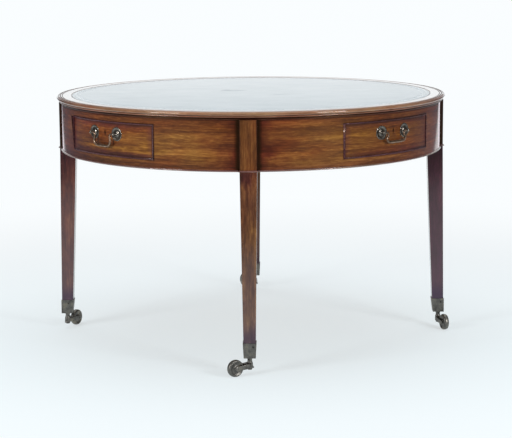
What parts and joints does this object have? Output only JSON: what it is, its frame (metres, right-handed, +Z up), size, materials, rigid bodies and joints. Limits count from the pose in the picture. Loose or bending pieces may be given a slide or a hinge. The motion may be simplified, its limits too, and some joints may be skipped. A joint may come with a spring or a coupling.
{
  "type": "drum table",
  "caption": "Round table with a leather-lined top, curved frieze with bow-fronted drawers, swan-neck bail handles and square tapered legs on brass castors.",
  "frame": {"origin": "on the floor under the centre of the top", "axes": "+Z up; a leg stands towards -Y, +X, +Y and -X, and each drawer faces out between two legs"},
  "size_m": [1.2454, 1.3067, 0.76],
  "materials": {
    "mahogany": "french polished mahogany veneer",
    "mahogany_edge": "polished darker mahogany",
    "mahogany_leg": "polished solid mahogany",
    "crossbanding": "polished cross-grained mahogany veneer",
    "leather": "polished green-grey leather",
    "oak": "dry planed oak",
    "pine": "dry planed pine",
    "brass": "aged dull brass",
    "lock_brass": "worn brass",
    "steel": "worn iron"
  },
  "bodies": {
    "table": {"top_core": "pine", "top_edge_moulding": "mahogany_edge", "top_crossbanding": "crossbanding", "leather_inset": "leather", "leg_front": "mahogany_leg", "leg_right": "mahogany_leg", "leg_back": "mahogany_leg", "leg_left": "mahogany_leg", "frieze_top_rails": "mahogany", "frieze_bottom_rails": "mahogany", "frieze_panels": "mahogany", "frieze_bead": "mahogany_edge", "cross_rails": "oak", "drawer_runners": "oak", "drawer_kickers": "oak", "drawer_stops": "oak", "glue_blocks": "pine", "castor_cups": "brass", "castor_cup_screws": "brass", "castor_spindles": "steel"},
    "castor_front": {"castor_horn_front": "brass", "castor_axle_front": "steel"},
    "wheel_front": {"castor_wheel_front": "brass"},
    "castor_right": {"castor_horn_right": "brass", "castor_axle_right": "steel"},
    "wheel_right": {"castor_wheel_right": "brass"},
    "castor_back": {"castor_horn_back": "brass", "castor_axle_back": "steel"},
    "wheel_back": {"castor_wheel_back": "brass"},
    "castor_left": {"castor_horn_left": "brass", "castor_axle_left": "steel"},
    "wheel_left": {"castor_wheel_left": "brass"},
    "drawer_front_left": {"drawer_front_front_left": "mahogany", "drawer_box_front_left": "oak", "drawer_cockbead_front_left": "mahogany_edge", "drawer_lock_front_left": "lock_brass", "handle_mounts_front_left": "brass"},
    "handle_front_left": {"bail_front_left": "brass"},
    "bolt_front_left": {"lock_bolt_front_left": "lock_brass"},
    "drawer_front_right": {"drawer_front_front_right": "mahogany", "drawer_box_front_right": "oak", "drawer_cockbead_front_right": "mahogany_edge", "drawer_lock_front_right": "lock_brass", "handle_mounts_front_right": "brass"},
    "handle_front_right": {"bail_front_right": "brass"},
    "bolt_front_right": {"lock_bolt_front_right": "lock_brass"},
    "drawer_back_right": {"drawer_front_back_right": "mahogany", "drawer_box_back_right": "oak", "drawer_cockbead_back_right": "mahogany_edge", "drawer_lock_back_right": "lock_brass", "handle_mounts_back_right": "brass"},
    "handle_back_right": {"bail_back_right": "brass"},
    "bolt_back_right": {"lock_bolt_back_right": "lock_brass"},
    "drawer_back_left": {"drawer_front_back_left": "mahogany", "drawer_box_back_left": "oak", "drawer_cockbead_back_left": "mahogany_edge", "drawer_lock_back_left": "lock_brass", "handle_mounts_back_left": "brass"},
    "handle_back_left": {"bail_back_left": "brass"},
    "bolt_back_left": {"lock_bolt_back_left": "lock_brass"}
  },
  "joints": [
    {"name": "castor_swivel_front", "type": "hinge", "parent": "table", "child": "castor_front", "pos_m": [0, -0.5985, 0.051], "axis": [0, 0, 1], "continuous": true},
    {"name": "wheel_spin_front", "type": "hinge", "parent": "castor_front", "child": "wheel_front", "pos_m": [-0.04145, -0.62646, 0.025], "axis": [0.5592, -0.829, 0], "continuous": true},
    {"name": "castor_swivel_right", "type": "hinge", "parent": "table", "child": "castor_right", "pos_m": [0.5985, 0, 0.051], "axis": [0, 0, 1], "continuous": true},
    {"name": "wheel_spin_right", "type": "hinge", "parent": "castor_right", "child": "wheel_right", "pos_m": [0.61395, -0.04755, 0.025], "axis": [0.9511, 0.309, 0], "continuous": true},
    {"name": "castor_swivel_back", "type": "hinge", "parent": "table", "child": "castor_back", "pos_m": [0, 0.5985, 0.051], "axis": [0, 0, 1], "continuous": true},
    {"name": "wheel_spin_back", "type": "hinge", "parent": "castor_back", "child": "wheel_back", "pos_m": [-0.03346, 0.63566, 0.025], "axis": [-0.7431, -0.6691, 0], "continuous": true},
    {"name": "castor_swivel_left", "type": "hinge", "parent": "table", "child": "castor_left", "pos_m": [-0.5985, 0, 0.051], "axis": [0, 0, 1], "continuous": true},
    {"name": "wheel_spin_left", "type": "hinge", "parent": "castor_left", "child": "wheel_left", "pos_m": [-0.5758, 0.04455, 0.025], "axis": [-0.891, 0.454, 0], "continuous": true},
    {"name": "drawer_slide_front_left", "type": "slide", "parent": "table", "child": "drawer_front_left", "axis": [-0.7071, -0.7071, 0], "range_m": [0, 0.24]},
    {"name": "bail_hinge_front_left", "type": "hinge", "parent": "drawer_front_left", "child": "handle_front_left", "pos_m": [-0.42982, -0.42982, 0.683], "axis": [-0.7071, 0.7071, 0], "range_deg": [-12, 162]},
    {"name": "lock_throw_front_left", "type": "slide", "parent": "drawer_front_left", "child": "bolt_front_left", "axis": [0, 0, 1], "range_m": [0, 0.008]},
    {"name": "drawer_slide_front_right", "type": "slide", "parent": "table", "child": "drawer_front_right", "axis": [0.7071, -0.7071, 0], "range_m": [0, 0.24]},
    {"name": "bail_hinge_front_right", "type": "hinge", "parent": "drawer_front_right", "child": "handle_front_right", "pos_m": [0.42982, -0.42982, 0.683], "axis": [-0.7071, -0.7071, 0], "range_deg": [-12, 162]},
    {"name": "lock_throw_front_right", "type": "slide", "parent": "drawer_front_right", "child": "bolt_front_right", "axis": [0, 0, 1], "range_m": [0, 0.008]},
    {"name": "drawer_slide_back_right", "type": "slide", "parent": "table", "child": "drawer_back_right", "axis": [0.7071, 0.7071, 0], "range_m": [0, 0.24]},
    {"name": "bail_hinge_back_right", "type": "hinge", "parent": "drawer_back_right", "child": "handle_back_right", "pos_m": [0.42982, 0.42982, 0.683], "axis": [0.7071, -0.7071, 0], "range_deg": [-12, 162]},
    {"name": "lock_throw_back_right", "type": "slide", "parent": "drawer_back_right", "child": "bolt_back_right", "axis": [0, 0, 1], "range_m": [0, 0.008]},
    {"name": "drawer_slide_back_left", "type": "slide", "parent": "table", "child": "drawer_back_left", "axis": [-0.7071, 0.7071, 0], "range_m": [0, 0.24]},
    {"name": "bail_hinge_back_left", "type": "hinge", "parent": "drawer_back_left", "child": "handle_back_left", "pos_m": [-0.42982, 0.42982, 0.683], "axis": [0.7071, 0.7071, 0], "range_deg": [-12, 162]},
    {"name": "lock_throw_back_left", "type": "slide", "parent": "drawer_back_left", "child": "bolt_back_left", "axis": [0, 0, 1], "range_m": [0, 0.008]}
  ]
}
